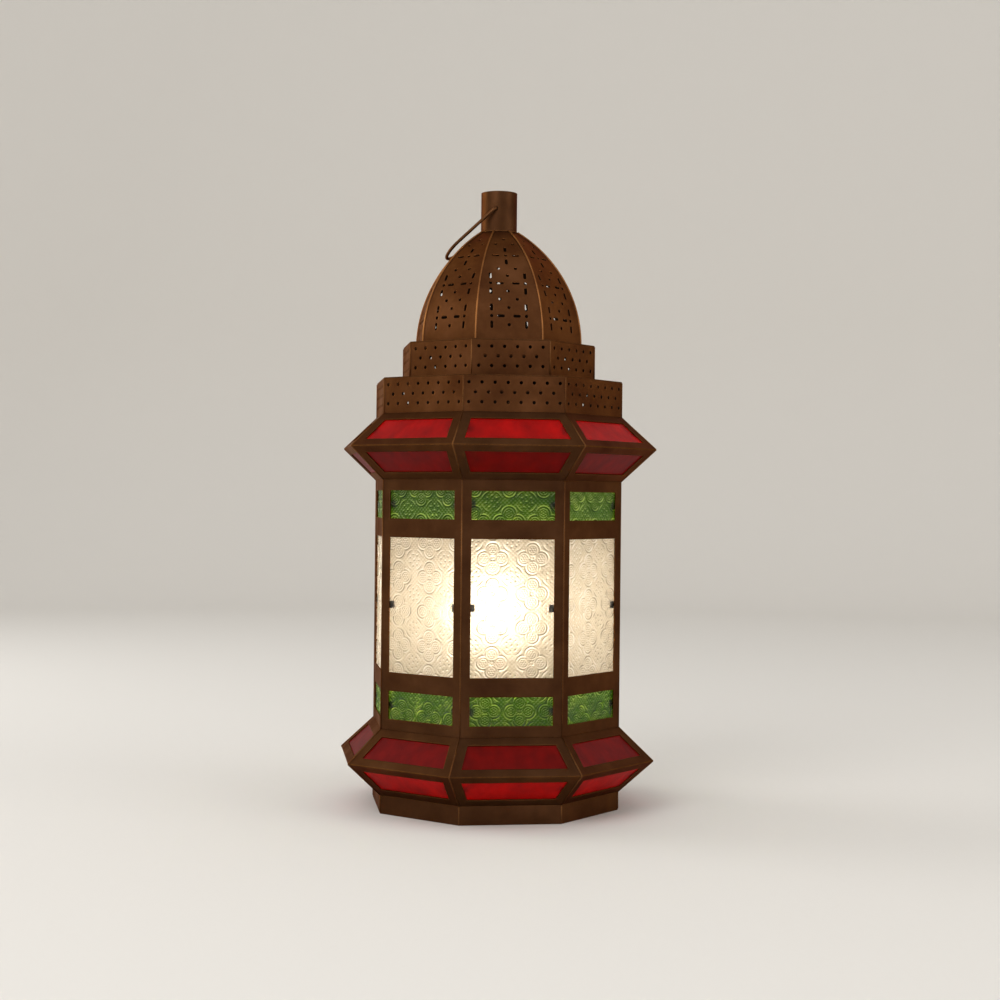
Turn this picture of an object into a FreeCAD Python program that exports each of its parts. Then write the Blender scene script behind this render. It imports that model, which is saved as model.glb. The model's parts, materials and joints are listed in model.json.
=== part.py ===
import FreeCAD, Part
import math
import os

# Octagonal candle lantern of soldered sheet iron and coloured glass, in millimetres.
# Z is up, the origin is the middle of the base on the table, and the front face looks along -Y.
# Every repeated piece is made once for the front face and turned about Z to its own face.

# Sheet metal and glass
SHEET = 0.9
GLASS = 2.0
PANE_LAP = 2.5
FACE_NAMES = (
    "front",
    "front_right",
    "right",
    "back_right",
    "back",
    "back_left",
    "left",
    "front_left",
)

# Half widths across the flats
BODY_APOTHEM = 91.0
RIDGE_APOTHEM = 116.0
UPPER_TIER_APOTHEM = 71.0
DOME_APOTHEM = 61.0
LOWER_DECK_HOLE = 63.0
UPPER_DECK_HOLE = 55.0

# Heights from the table up
SKIRT_HEIGHT = 14.0
COLLAR_HEIGHT = 49.5
BODY_HEIGHT = 187.5
LOWER_TIER_HEIGHT = 27.0
UPPER_TIER_HEIGHT = 28.0
DOME_HEIGHT = 88.0
NECK_HEIGHT = 31.5

# Windows: collar windows keep one margin all round, body windows have stiles, rails and crossbars
COLLAR_MARGIN = 7.0
STILE = 7.0
END_RAIL = 8.25
GREEN_HEIGHT = 21.0
CROSSBAR = 14.0

# Clips that hold each pane from behind
CLIP_WIDTH = 5.4
CLIP_SHEET = 0.6
CLIP_PLAY = 0.2
CLIP_SHOW = 3.3

# Base, drip pan, candle socket and candle
HEM_WIDTH = 6.0
BASE_PLATE_HEIGHT = 12.2
BASE_PLATE = 1.2
PAN_RADIUS = 26.0
PAN_SHEET = 0.8
PAN_DEPTH = 6.0
RIVET_COUNT = 3
RIVET_RADIUS = 1.5
RIVET_HEAD_RADIUS = 2.6
RIVET_HEAD = 0.9
SOCKET_PLAY = 0.6
SOCKET_WALL = 0.8
SOCKET_HEIGHT = 20.0
CANDLE_RADIUS = 11.0
CANDLE_HEIGHT = 120.8
MELT_RIM = 2.0
MELT_DEPTH = 3.0
WICK_RADIUS = 0.9
WICK_BURIED = 10.0
WICK_SHOWING = 14.0

# Punched holes
HOLE_DIAMETER = 2.5
SLIT_WIDTH = 2.2
POST_LENGTH = 5.6
BAR_LENGTH = 5.7
HOLE_MARGIN = 2.7
TIER_PITCH = 9.6
TIER_ROW_SPACING = 7.2
TIER_FIRST_ROW = 5.7
DOME_FIRST_ROW = 11.5
DOME_ROW_SPACING = 6.7
OUTER_COLUMN = 13.1
RAIL_COLUMN = 6.0
PAIR_COLUMN = 6.5
ARM_COLUMN = 7.5

# Neck tube and wire bail
NECK_RADIUS = 14.0
NECK_WALL = 1.0
NECK_SOCKET = 3.0
WIRE_DIAMETER = 2.5
BAIL_SIDE_GAP = 1.25
BAIL_LENGTH = 54.7
BAIL_BEND = 2.2
BAIL_STUB = 2.5
BAIL_HOLE_CLEARANCE = 0.08
BAIL_PIVOT_DROP = 13.5
BAIL_AXIS_ANGLE = 72.0
BAIL_REST_GAP = 1.0

# Door, hinges and latch
DOOR_GAP = 0.5
RUNNING_GAP = 0.3
KNUCKLE_RADIUS = 2.0
KNUCKLE_LENGTH = 8.0
LEAF_SHEET = 1.0
LEAF_REACH = 7.0
PIN_RADIUS = 1.0
PIN_CLEARANCE = 0.06
PIN_HEAD_RADIUS = 1.6
PIN_HEAD = 0.9
LATCH_EDGE = 4.2
LATCH_REACH = 2.5
LATCH_CLEARANCE = 0.4
SPINDLE_RADIUS = 1.6
SPINDLE_CLEARANCE = 0.08
SPINDLE_END = 0.6
TONGUE_WIDTH = 5.0
TONGUE_SHEET = 1.2
KNOB_COLLAR_RADIUS = 3.2
KNOB_COLLAR = 1.0
THUMB_LENGTH = 11.0
THUMB_WIDTH = 3.4
THUMB_HEIGHT = 4.0

# Spare length that lets a cutter pass right through what it cuts, and the fineness of the bail's fit
OVERCUT = 1.0
ANGLE_STEP = 0.02
LOOP_STEPS = 180

Vector = FreeCAD.Vector
ACROSS = Vector(1, 0, 0)
UP = Vector(0, 0, 1)
SIDES = len(FACE_NAMES)
TURN = 360.0 / SIDES
TAN = math.tan(math.pi / SIDES)
DOOR_FACE = FACE_NAMES.index("back")
WALL_FACES = [face for face in range(SIDES) if face != DOOR_FACE]

Z_LOWER_RIDGE = SKIRT_HEIGHT + COLLAR_HEIGHT / 2
Z_BODY = SKIRT_HEIGHT + COLLAR_HEIGHT
Z_BODY_TOP = Z_BODY + BODY_HEIGHT
Z_UPPER_RIDGE = Z_BODY_TOP + COLLAR_HEIGHT / 2
Z_LOWER_TIER = Z_BODY_TOP + COLLAR_HEIGHT
Z_UPPER_TIER = Z_LOWER_TIER + LOWER_TIER_HEIGHT
Z_DOME = Z_UPPER_TIER + UPPER_TIER_HEIGHT
Z_NECK = Z_DOME + DOME_HEIGHT
Z_TOP = Z_NECK + NECK_HEIGHT
Z_PIVOT = Z_TOP - BAIL_PIVOT_DROP
BAIL_HALF = NECK_RADIUS + BAIL_SIDE_GAP + WIRE_DIAMETER / 2

# Side profile of the outer faces as (apothem, height), from the table to the first deck
PROFILE = [
    (BODY_APOTHEM, 0.0),
    (BODY_APOTHEM, SKIRT_HEIGHT),
    (RIDGE_APOTHEM, Z_LOWER_RIDGE),
    (BODY_APOTHEM, Z_BODY),
    (BODY_APOTHEM, Z_BODY_TOP),
    (RIDGE_APOTHEM, Z_UPPER_RIDGE),
    (BODY_APOTHEM, Z_LOWER_TIER),
    (BODY_APOTHEM, Z_UPPER_TIER - SHEET),
]
SKIRT, LOWER_BOTTOM, LOWER_TOP, BODY, UPPER_BOTTOM, UPPER_TOP, LOWER_TIER = range(len(PROFILE) - 1)

# The dome's side is an arc that starts upright at its foot and meets the neck tube
DOME_INSET = DOME_APOTHEM - NECK_RADIUS
DOME_RADIUS = (DOME_INSET**2 + DOME_HEIGHT**2) / (2 * DOME_INSET)
DOME_CENTRE = DOME_APOTHEM - DOME_RADIUS
DOME_END_APOTHEM = NECK_RADIUS * math.cos(math.pi / SIDES) - SHEET
DOME_ARC = DOME_RADIUS * math.acos((DOME_END_APOTHEM - DOME_CENTRE) / DOME_RADIUS)

# Rows of the dome's punched pattern from the foot up: kind of hole and its place across the gore
POSTS = [("post", -OUTER_COLUMN), ("dot", 0.0), ("post", OUTER_COLUMN)]
RAIL = [("dot", -OUTER_COLUMN), ("bar", -RAIL_COLUMN), ("bar", RAIL_COLUMN), ("dot", OUTER_COLUMN)]
PAIR = [("dot", -PAIR_COLUMN), ("dot", PAIR_COLUMN)]
STEM = [("post", 0.0)]
ARMS = [("bar", -ARM_COLUMN), ("dot", 0.0), ("bar", ARM_COLUMN)]
TIP = [("dot", 0.0)]
DOME_ROWS = [POSTS, RAIL, POSTS, PAIR, POSTS, RAIL, POSTS, PAIR, STEM, ARMS, STEM, PAIR, TIP]


def offset_profile(stations, distance):
    """The profile moved inwards by a distance, with mitred corners."""
    normals = []
    for (a1, z1), (a2, z2) in zip(stations, stations[1:]):
        length = math.hypot(a2 - a1, z2 - z1)
        normals.append(((z2 - z1) / length, (a1 - a2) / length))
    before = normals[:1] + normals
    after = normals + normals[-1:]
    moved = []
    for (apothem, height), first, second in zip(stations, before, after):
        share = distance / (1 + first[0] * second[0] + first[1] * second[1])
        moved.append((apothem - share * (first[0] + second[0]), height - share * (first[1] + second[1])))
    return moved


INNER_PROFILE = offset_profile(PROFILE, SHEET)


class Panel:
    """One flat sheet of the front face, between two stations of the profile."""

    def __init__(self, station):
        self.outer = PROFILE[station : station + 2]
        self.inner = INNER_PROFILE[station : station + 2]
        (a1, z1), (a2, z2) = self.outer
        self.length = math.hypot(a2 - a1, z2 - z1)
        self.slope = ((a2 - a1) / self.length, (z2 - z1) / self.length)
        self.lean = TAN * self.slope[0]
        self.slant = math.hypot(1.0, self.lean)

    def point(self, across, along, depth):
        """A point at a distance across and up the sheet, at a depth behind its outer face."""
        apothem = self.outer[0][0] + self.slope[0] * along - self.slope[1] * depth
        height = self.outer[0][1] + self.slope[1] * along + self.slope[0] * depth
        return Vector(across, -apothem, height)

    def half_width(self, along):
        return (self.outer[0][0] + self.slope[0] * along) * TAN

    def sheet(self):
        """The blank sheet, with its ends in the corner planes of the octagon."""
        return mitred_block([*self.outer, *reversed(self.inner)])

    def plate(self, window, grown, front, back):
        """A prism over a window's outline grown by a margin, between two depths."""
        low, high, inset = window
        low = low - grown
        high = high + grown
        margin = (inset - grown) * self.slant
        right = [(self.half_width(low) - margin, low), (self.half_width(high) - margin, high)]
        left = [(-across, along) for across, along in reversed(right)]
        outline = [self.point(across, along, front) for across, along in right + left]
        return flat_face(outline).extrude(self.point(0, 0, back) - self.point(0, 0, front))

    def pierced(self, windows, blank):
        for window in windows:
            blank = blank.cut(self.plate(window, 0.0, -OVERCUT, SHEET + OVERCUT))
        return blank

    def pane(self, window):
        """The glass behind a window, lapping the sheet all round."""
        return self.plate(window, PANE_LAP, SHEET, SHEET + GLASS)

    def clips(self, window):
        """Two bent tabs that stand on the sheet and reach over the pane's back at mid-height."""
        low, high, inset = window
        middle = (low + high) / 2
        edge = self.half_width(middle) - (inset - PANE_LAP) * self.slant
        foot = CLIP_PLAY + CLIP_SHEET
        back = SHEET + GLASS
        tip = -PANE_LAP - CLIP_SHOW
        bent_tab = [
            (foot, SHEET),
            (foot, back + CLIP_SHEET),
            (tip, back + CLIP_SHEET),
            (tip, back),
            (CLIP_PLAY, back),
            (CLIP_PLAY, SHEET),
        ]
        tabs = []
        for side in (-1, 1):
            ends = []
            for shift in (-CLIP_WIDTH / 2, CLIP_WIDTH / 2):
                ring = []
                for out, depth in bent_tab:
                    across = edge + (out + self.lean * shift) / self.slant
                    along = middle + (shift - self.lean * out) / self.slant
                    ring.append(self.point(side * across, along, depth))
                ends.append(ring)
            tabs.append(flat_solid(*ends))
        return tabs


def flat_face(points):
    return Part.Face(Part.makePolygon([*points, points[0]]))


def flat_solid(first_ring, second_ring):
    """The solid with flat faces that joins two rings of points."""
    faces = [flat_face(first_ring), flat_face(second_ring)]
    count = len(first_ring)
    for i in range(count):
        j = (i + 1) % count
        faces.append(flat_face([first_ring[i], first_ring[j], second_ring[j], second_ring[i]]))
    solid = Part.Solid(Part.Shell(faces))
    if solid.Volume < 0:
        solid.reverse()
    return solid


def mitred_block(section, side_gap=0.0):
    """A panel of the front face from its (apothem, height) section, ending in the corner planes."""
    left = [Vector(side_gap - apothem * TAN, -apothem, height) for apothem, height in section]
    right = [Vector(apothem * TAN - side_gap, -apothem, height) for apothem, height in section]
    return flat_solid(left, right)


def upright_section(apothem, low, high):
    """The (apothem, height) section of an upright sheet."""
    inner = apothem - SHEET
    return [(apothem, low), (apothem, high), (inner, high), (inner, low)]


def octagon(apothem, low, high):
    corners = []
    for face in range(SIDES):
        angle = math.radians(TURN * (face + 0.5))
        radius = apothem * math.hypot(1.0, TAN)
        corners.append(Vector(radius * math.cos(angle), radius * math.sin(angle), low))
    return flat_face(corners).extrude(UP * (high - low))


def box(low, high):
    return Part.makeBox(high.x - low.x, high.y - low.y, high.z - low.z, low)


def post(radius, low, high, x=0.0, y=0.0):
    """An upright round bar."""
    return Part.makeCylinder(radius, high - low, Vector(x, y, low))


def turned(shape, face):
    """A copy of a front piece, turned to another face."""
    copy = shape.copy()
    copy.rotate(Vector(0, 0, 0), UP, TURN * face)
    return copy


def around(shapes, faces=range(SIDES)):
    return [turned(shape, face) for face in faces for shape in shapes]


def one_solid(shape):
    return shape.removeSplitter().Solids[0]


def round_ended_face(centre, direction, across, length, width):
    """A flat face with straight sides and round ends."""
    side = across * (width / 2)
    run = direction * ((length - width) / 2)
    cap = direction * (length / 2)
    edges = [
        Part.makeLine(centre - run + side, centre + run + side),
        Part.Arc(centre + run + side, centre + cap, centre + run - side).toShape(),
        Part.makeLine(centre + run - side, centre - run - side),
        Part.Arc(centre - run - side, centre - cap, centre - run + side).toShape(),
    ]
    return Part.Face(Part.Wire(edges))


def slot(centre, direction, normal, length, width):
    """A cutter with round ends that goes through a sheet along its normal."""
    start = centre + normal * OVERCUT
    face = round_ended_face(start, direction, normal.cross(direction), length, width)
    return face.extrude(normal * -(SHEET + 2 * OVERCUT))


def round_bar(centre, length, width, front, back):
    """An upright flat bar with round ends, parallel to the front face, between two depths along Y."""
    start = Vector(centre.x, front, centre.z)
    face = round_ended_face(start, UP, ACROSS, length, width)
    return face.extrude(Vector(0, back - front, 0))


def dot(centre, normal):
    """A round cutter that goes through a sheet along its normal."""
    return Part.makeCylinder(HOLE_DIAMETER / 2, SHEET + 2 * OVERCUT, centre + normal * OVERCUT, normal * -1)


def collar_window(panel):
    return (COLLAR_MARGIN, panel.length - COLLAR_MARGIN, COLLAR_MARGIN)


def body_windows():
    """Lower green, clear and upper green windows, as (low, high, inset) up the panel."""
    lower = (END_RAIL, END_RAIL + GREEN_HEIGHT, STILE)
    upper = (BODY_HEIGHT - END_RAIL - GREEN_HEIGHT, BODY_HEIGHT - END_RAIL, STILE)
    clear = (lower[1] + CROSSBAR, upper[0] - CROSSBAR, STILE)
    return lower, clear, upper


def make_base():
    """Folded skirt, base plate, and the drip pan with its rivets and its socket for the candle."""
    skirt_panel = Panel(SKIRT).sheet()
    hem = octagon(BODY_APOTHEM, 0.0, SHEET).cut(octagon(BODY_APOTHEM - HEM_WIDTH, 0.0, SHEET))
    skirt = one_solid(hem.multiFuse(around([skirt_panel])))

    plate_top = BASE_PLATE_HEIGHT + BASE_PLATE
    pan_floor = plate_top + PAN_SHEET
    socket_bore = CANDLE_RADIUS + SOCKET_PLAY
    socket_radius = socket_bore + SOCKET_WALL
    rivet_circle = (socket_radius + PAN_RADIUS) / 2
    plate = octagon(BODY_APOTHEM - SHEET, BASE_PLATE_HEIGHT, plate_top)
    pan = post(PAN_RADIUS + PAN_SHEET, plate_top, pan_floor + PAN_DEPTH)
    pan = pan.cut(post(PAN_RADIUS, pan_floor, pan_floor + PAN_DEPTH))
    socket_top = pan_floor + SOCKET_HEIGHT
    socket = post(socket_radius, pan_floor, socket_top).cut(post(socket_bore, pan_floor, socket_top))
    rivets = []
    for i in range(RIVET_COUNT):
        angle = math.radians(90 + 360.0 * i / RIVET_COUNT)
        x = rivet_circle * math.cos(angle)
        y = rivet_circle * math.sin(angle)
        shank = post(RIVET_RADIUS, BASE_PLATE_HEIGHT, pan_floor, x, y)
        head = post(RIVET_HEAD_RADIUS, BASE_PLATE_HEIGHT - RIVET_HEAD, BASE_PLATE_HEIGHT, x, y)
        plate = plate.cut(shank)
        pan = pan.cut(shank)
        rivets.append(one_solid(shank.fuse(head)))
    return {
        "base_skirt": [skirt],
        "base_plate": [plate],
        "drip_pan": [pan],
        "pan_rivets": rivets,
        "candle_socket": [socket],
    }


def make_candle():
    """Slim candle standing in its socket, with a burnt hollow round its wick."""
    foot = BASE_PLATE_HEIGHT + BASE_PLATE + PAN_SHEET
    top = foot + CANDLE_HEIGHT
    hollow_radius = CANDLE_RADIUS - MELT_RIM
    ball_radius = (hollow_radius**2 + MELT_DEPTH**2) / (2 * MELT_DEPTH)
    hollow_floor = top - MELT_DEPTH
    wick = post(WICK_RADIUS, hollow_floor - WICK_BURIED, hollow_floor + WICK_SHOWING)
    candle = post(CANDLE_RADIUS, foot, top)
    candle = candle.cut(Part.makeSphere(ball_radius, Vector(0, 0, hollow_floor + ball_radius)))
    return {"candle": [candle.cut(wick)], "wick": [wick]}


def make_collar(name, bottom_station, top_station):
    """The two sloping rings of framed red panes that flare out to a ridge."""
    nodes = {}
    clips = []
    for part, station in (("bottom", bottom_station), ("top", top_station)):
        panel = Panel(station)
        window = collar_window(panel)
        nodes[f"{name}_{part}_frames"] = around([panel.pierced([window], panel.sheet())])
        nodes[f"{name}_{part}_panes"] = around([panel.pane(window)])
        clips += around(panel.clips(window))
    nodes[f"{name}_clips"] = clips
    return nodes


def make_body_walls():
    """Seven fixed body panels, each with its two green panes and one clear pane."""
    panel = Panel(BODY)
    windows = body_windows()
    frame = panel.pierced(windows, panel.sheet())
    lower_pane, clear_pane, upper_pane = [panel.pane(window) for window in windows]
    clips = [clip for window in windows for clip in panel.clips(window)]
    nodes = {}
    for face in WALL_FACES:
        nodes[f"body_frame_{FACE_NAMES[face]}"] = [turned(frame, face)]
        nodes[f"clear_pane_{FACE_NAMES[face]}"] = [turned(clear_pane, face)]
    nodes["lower_green_panes"] = around([lower_pane], WALL_FACES)
    nodes["upper_green_panes"] = around([upper_pane], WALL_FACES)
    nodes["body_clips"] = around(clips, WALL_FACES)
    return nodes


def latch_place():
    """Where the latch spindle goes through the door, across the front face and in height."""
    lower, clear, upper = body_windows()
    across = BODY_APOTHEM * TAN - LATCH_EDGE
    return across, Z_BODY + (clear[1] + upper[0]) / 2


def make_door():
    """The back panel as a door with its own panes, and the hole for the latch spindle."""
    panel = Panel(BODY)
    windows = body_windows()
    section = upright_section(BODY_APOTHEM, Z_BODY + DOOR_GAP, Z_BODY_TOP - DOOR_GAP)
    frame = panel.pierced(windows, mitred_block(section, DOOR_GAP))
    across, height = latch_place()
    hole_radius = SPINDLE_RADIUS + SPINDLE_CLEARANCE
    hole_start = Vector(across, -BODY_APOTHEM - OVERCUT, height)
    frame = frame.cut(Part.makeCylinder(hole_radius, SHEET + 2 * OVERCUT, hole_start, Vector(0, 1, 0)))
    lower_pane, clear_pane, upper_pane = [panel.pane(window) for window in windows]
    clips = [clip for window in windows for clip in panel.clips(window)]
    return {
        "door_frame": [turned(frame, DOOR_FACE)],
        "door_clear_pane": [turned(clear_pane, DOOR_FACE)],
        "door_lower_green_pane": [turned(lower_pane, DOOR_FACE)],
        "door_upper_green_pane": [turned(upper_pane, DOOR_FACE)],
        "door_clips": around(clips, [DOOR_FACE]),
    }


def hinge_axis():
    """The hinge pin's place beside the door's corner, in the front face's frame."""
    apothem = BODY_APOTHEM + KNUCKLE_RADIUS + RUNNING_GAP
    return Vector(-apothem * TAN, -apothem, 0)


def hinge_leaf(centre_height, knuckles, bore_radius):
    """A leaf flat on the front face, with its own knuckles of the three round the pin."""
    axis = hinge_axis()
    step = KNUCKLE_LENGTH + RUNNING_GAP
    half_height = step + KNUCKLE_LENGTH / 2
    plate_start = axis.x + KNUCKLE_RADIUS + RUNNING_GAP
    outer = -BODY_APOTHEM - LEAF_SHEET
    neck_inner = -BODY_APOTHEM - RUNNING_GAP
    leaf = box(
        Vector(plate_start, outer, centre_height - half_height),
        Vector(axis.x + LEAF_REACH, -BODY_APOTHEM, centre_height + half_height),
    )
    for knuckle in knuckles:
        low = centre_height + knuckle * step - KNUCKLE_LENGTH / 2
        high = low + KNUCKLE_LENGTH
        neck = box(Vector(axis.x, outer, low), Vector(plate_start, neck_inner, high))
        barrel = post(KNUCKLE_RADIUS, low, high, axis.x, axis.y)
        bore = post(bore_radius, low, high, axis.x, axis.y)
        leaf = leaf.fuse([neck, barrel]).cut(bore)
    return one_solid(leaf)


def make_hinges():
    """Two loose-leaf hinges at the door's corner, level with the crossbars."""
    lower, clear, upper = body_windows()
    heights = [Z_BODY + (lower[1] + clear[0]) / 2, Z_BODY + (clear[1] + upper[0]) / 2]
    axis = hinge_axis()
    half_height = KNUCKLE_LENGTH * 1.5 + RUNNING_GAP
    corner_angle = math.radians(-90 - TURN / 2)
    corner_normal = Vector(-math.sin(corner_angle), math.cos(corner_angle), 0)
    door_leaves = []
    frame_leaves = []
    pins = []
    for height in heights:
        door_leaves.append(hinge_leaf(height, [0], PIN_RADIUS + PIN_CLEARANCE))
        frame_leaf = hinge_leaf(height, [-1, 1], PIN_RADIUS)
        frame_leaves.append(frame_leaf.mirror(Vector(0, 0, 0), corner_normal))
        top = height + half_height
        pin = post(PIN_RADIUS, height - half_height, top, axis.x, axis.y)
        head = post(PIN_HEAD_RADIUS, top, top + PIN_HEAD, axis.x, axis.y)
        pins.append(one_solid(pin.fuse(head)))
    return {
        "hinge_door_leaves": around(door_leaves, [DOOR_FACE]),
        "hinge_frame_leaves": around(frame_leaves, [DOOR_FACE]),
        "hinge_pins": around(pins, [DOOR_FACE]),
    }


def make_latch():
    """Thumb knob and spindle outside, and the tongue that turns behind the next panel."""
    across, height = latch_place()
    inwards = Vector(0, 1, 0)
    centre = Vector(across, 0, height)
    knob_back = -BODY_APOTHEM - RUNNING_GAP
    thumb_back = knob_back - KNOB_COLLAR
    tongue_front = -BODY_APOTHEM + LATCH_REACH + SHEET * math.sqrt(2) + LATCH_CLEARANCE
    tongue_back = tongue_front + TONGUE_SHEET
    spindle_length = tongue_back + SPINDLE_END - thumb_back
    spindle = Part.makeCylinder(SPINDLE_RADIUS, spindle_length, centre + inwards * thumb_back, inwards)
    collar = Part.makeCylinder(KNOB_COLLAR_RADIUS, KNOB_COLLAR, centre + inwards * thumb_back, inwards)
    thumb = round_bar(centre, THUMB_LENGTH, THUMB_WIDTH, thumb_back - THUMB_HEIGHT, thumb_back)
    knob = one_solid(thumb.fuse([collar, spindle]))

    tongue_length = LATCH_EDGE + LATCH_REACH
    tail = TONGUE_WIDTH / 2
    middle = centre - UP * ((tongue_length - tail) / 2)
    tongue = round_bar(middle, tongue_length + tail, TONGUE_WIDTH, tongue_front, tongue_back)
    return {
        "latch_knob": [turned(knob, DOOR_FACE)],
        "latch_tongue": [turned(tongue.cut(spindle), DOOR_FACE)],
    }


def tier_holes(apothem, low, high):
    """Staggered rows of round holes across one face of a tier."""
    outwards = Vector(0, -1, 0)
    width = 2 * apothem * TAN
    columns = int((width - 2 * (HOLE_MARGIN + HOLE_DIAMETER / 2)) / TIER_PITCH) + 1
    rows = int((high - low - TIER_FIRST_ROW - HOLE_MARGIN) / TIER_ROW_SPACING) + 1
    holes = []
    for row in range(rows):
        count = columns - row % 2
        height = high - TIER_FIRST_ROW - row * TIER_ROW_SPACING
        for i in range(count):
            across = (i - (count - 1) / 2) * TIER_PITCH
            holes.append(dot(Vector(across, -apothem, height), outwards))
    return holes


def make_tiers():
    """Two stepped rings of punched panels, each closed by a flat deck with an open middle."""
    lower = Panel(LOWER_TIER).sheet().cut(tier_holes(BODY_APOTHEM, Z_LOWER_TIER, Z_UPPER_TIER))
    upper = mitred_block(upright_section(UPPER_TIER_APOTHEM, Z_UPPER_TIER, Z_DOME - SHEET))
    upper = upper.cut(tier_holes(UPPER_TIER_APOTHEM, Z_UPPER_TIER, Z_DOME))
    lower_deck = octagon(BODY_APOTHEM, Z_UPPER_TIER - SHEET, Z_UPPER_TIER)
    lower_deck = lower_deck.cut(octagon(LOWER_DECK_HOLE, Z_UPPER_TIER - SHEET, Z_UPPER_TIER))
    upper_deck = octagon(UPPER_TIER_APOTHEM, Z_DOME - SHEET, Z_DOME)
    upper_deck = upper_deck.cut(octagon(UPPER_DECK_HOLE, Z_DOME - SHEET, Z_DOME))
    return {
        "lower_tier_panels": around([lower]),
        "lower_tier_deck": [lower_deck],
        "upper_tier_panels": around([upper]),
        "upper_tier_deck": [upper_deck],
    }


def dome_point(arc, depth, across):
    """A point of the front gore, at an arc length from its foot and a depth behind its outer face."""
    angle = arc / DOME_RADIUS
    radius = DOME_RADIUS - depth
    return Vector(across, -DOME_CENTRE - radius * math.cos(angle), Z_DOME + radius * math.sin(angle))


def blank_gore():
    """One curved sheet of the dome, between two corner planes and trimmed round the neck tube."""
    reach = DOME_APOTHEM * TAN + OVERCUT

    def corner(arc, depth):
        return dome_point(arc, depth, -reach)

    edges = [
        Part.Arc(corner(0, 0), corner(DOME_ARC / 2, 0), corner(DOME_ARC, 0)).toShape(),
        Part.makeLine(corner(DOME_ARC, 0), corner(DOME_ARC, SHEET)),
        Part.Arc(corner(DOME_ARC, SHEET), corner(DOME_ARC / 2, SHEET), corner(0, SHEET)).toShape(),
        Part.makeLine(corner(0, SHEET), corner(0, 0)),
    ]
    bent_sheet = Part.Face(Part.Wire(edges)).extrude(ACROSS * (2 * reach))
    far = DOME_APOTHEM + OVERCUT
    wedge_corners = [(0, 0), (-far * TAN, -far), (far * TAN, -far)]
    wedge = flat_face([Vector(x, y, Z_DOME) for x, y in wedge_corners])
    gore = bent_sheet.common(wedge.extrude(UP * (Z_TOP - Z_DOME)))
    return one_solid(gore.cut(post(NECK_RADIUS, Z_DOME, Z_TOP)))


def gore_holes():
    """The punched pattern of one gore, wherever a hole leaves enough metal beside the seam."""
    half_reach = {"post": SLIT_WIDTH / 2, "bar": BAR_LENGTH / 2, "dot": HOLE_DIAMETER / 2}
    holes = []
    for row, places in enumerate(DOME_ROWS):
        arc = DOME_FIRST_ROW + row * DOME_ROW_SPACING
        angle = arc / DOME_RADIUS
        normal = Vector(0, -math.cos(angle), math.sin(angle))
        upwards = Vector(0, math.sin(angle), math.cos(angle))
        room = -dome_point(arc, 0, 0).y * TAN - HOLE_MARGIN
        for kind, across in places:
            centre = dome_point(arc, 0, across)
            if abs(across) + half_reach[kind] > room:
                continue
            if kind == "dot":
                holes.append(dot(centre, normal))
            elif kind == "post":
                holes.append(slot(centre, upwards, normal, POST_LENGTH, SLIT_WIDTH))
            else:
                holes.append(slot(centre, ACROSS, normal, BAR_LENGTH, SLIT_WIDTH))
    return holes


def make_dome():
    gore = blank_gore().cut(gore_holes())
    return {f"dome_gore_{name}": [turned(gore, face)] for face, name in enumerate(FACE_NAMES)}


def bail_frame(drop):
    """The bail's pivot axis, and where its legs point at an angle below the horizontal."""
    angle = math.radians(BAIL_AXIS_ANGLE)
    slope = math.radians(drop)
    axis = Vector(math.cos(angle), math.sin(angle), 0)
    hang = Vector(-axis.y, axis.x, 0) * math.cos(slope) - UP * math.sin(slope)
    return axis, hang


def bail_point(drop, side, out):
    """A point in the bail's plane, at a distance along the pivot axis and out along the legs."""
    axis, hang = bail_frame(drop)
    return Vector(0, 0, Z_PIVOT) + axis * side + hang * out


def dome_clearance(point):
    """How far a point lies outside the curved sheets of the dome."""
    gaps = []
    for face in range(SIDES):
        angle = math.radians(TURN * face - 90)
        apothem = point.x * math.cos(angle) + point.y * math.sin(angle)
        gaps.append(math.hypot(apothem - DOME_CENTRE, point.z - Z_DOME) - DOME_RADIUS)
    return max(gaps)


def bail_gap(drop):
    """The least gap between the round end of the bail and the dome."""
    gaps = []
    for step in range(LOOP_STEPS + 1):
        turn = math.pi * step / LOOP_STEPS
        out = BAIL_LENGTH - BAIL_HALF * (1 - math.sin(turn))
        place = bail_point(drop, BAIL_HALF * math.cos(turn), out)
        gaps.append(dome_clearance(place) - WIRE_DIAMETER / 2)
    return min(gaps)


def bail_drop():
    """How far below the horizontal the bail lies when it rests just clear of the dome's seams."""
    raised, sunk = 0.0, 90.0
    while sunk - raised > ANGLE_STEP:
        middle = (raised + sunk) / 2
        if bail_gap(middle) > BAIL_REST_GAP:
            raised = middle
        else:
            sunk = middle
    return raised


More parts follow.
